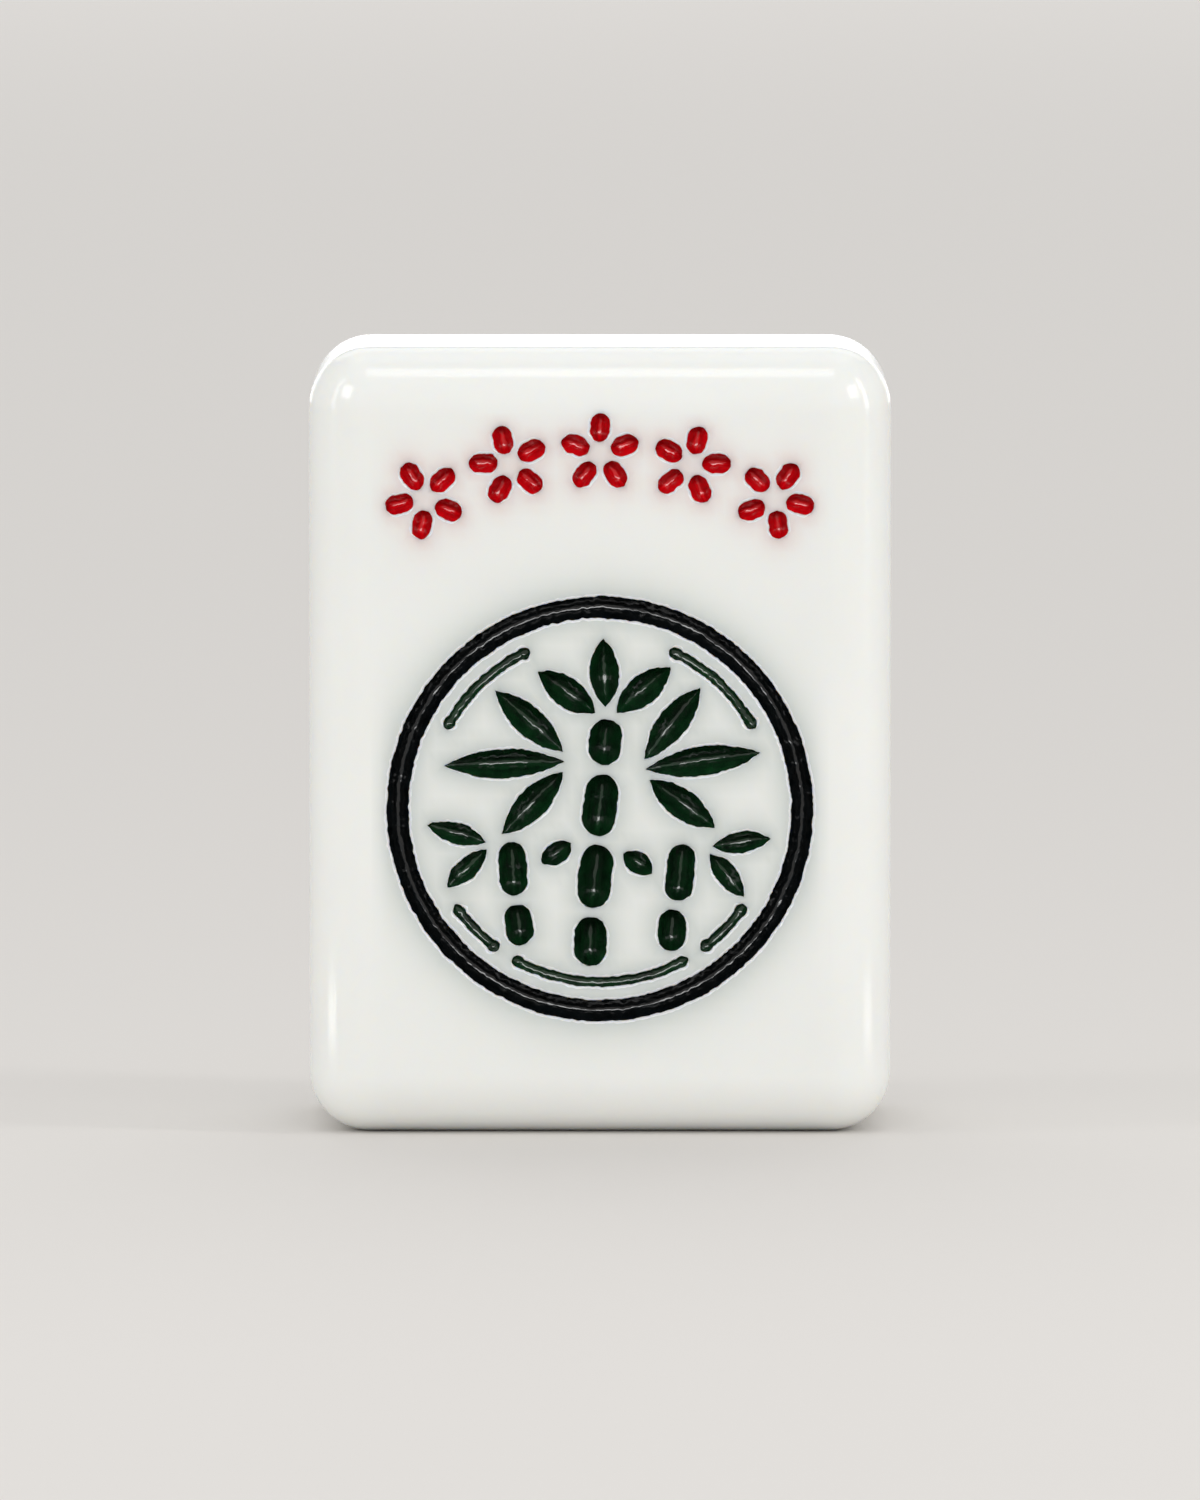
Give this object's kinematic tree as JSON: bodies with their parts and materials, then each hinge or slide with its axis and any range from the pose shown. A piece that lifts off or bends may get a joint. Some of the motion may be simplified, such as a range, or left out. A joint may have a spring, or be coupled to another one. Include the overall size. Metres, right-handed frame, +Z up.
{
  "type": "mahjong tile",
  "caption": "Rounded white melamine mahjong tile with a V-carved face: enamelled red blossoms on an arc above a dark ring that frames green bamboo.",
  "frame": {"origin": "middle of the short end that the tile stands on", "axes": "+Z up along the tile's height, +X across its width, the carved face looks along -Y"},
  "size_m": [0.0222, 0.013, 0.03],
  "materials": {
    "white_melamine": "polished moulded melamine",
    "blue_black_enamel": "glossy enamel in a carved groove",
    "red_enamel": "glossy enamel in a carved groove",
    "green_enamel": "glossy enamel in a carved groove"
  },
  "bodies": {
    "root": {"tile_body": "white_melamine", "ring": "blue_black_enamel", "blossom_1": "red_enamel", "blossom_2": "red_enamel", "blossom_3": "red_enamel", "blossom_4": "red_enamel", "blossom_5": "red_enamel", "breeze_right": "green_enamel", "breeze_left": "green_enamel", "bank_left": "green_enamel", "ground": "green_enamel", "bank_right": "green_enamel", "main_cane_1": "green_enamel", "main_cane_2": "green_enamel", "main_cane_3": "green_enamel", "main_cane_4": "green_enamel", "left_cane_1": "green_enamel", "left_cane_2": "green_enamel", "right_cane_1": "green_enamel", "right_cane_2": "green_enamel", "top_leaf_1": "green_enamel", "top_leaf_2": "green_enamel", "top_leaf_3": "green_enamel", "left_leaf_1": "green_enamel", "left_leaf_2": "green_enamel", "left_leaf_3": "green_enamel", "right_leaf_1": "green_enamel", "right_leaf_2": "green_enamel", "right_leaf_3": "green_enamel", "low_left_leaf_1": "green_enamel", "low_left_leaf_2": "green_enamel", "low_right_leaf_1": "green_enamel", "low_right_leaf_2": "green_enamel", "side_left_leaf_1": "green_enamel", "side_right_leaf_1": "green_enamel"}
  },
  "joints": []
}
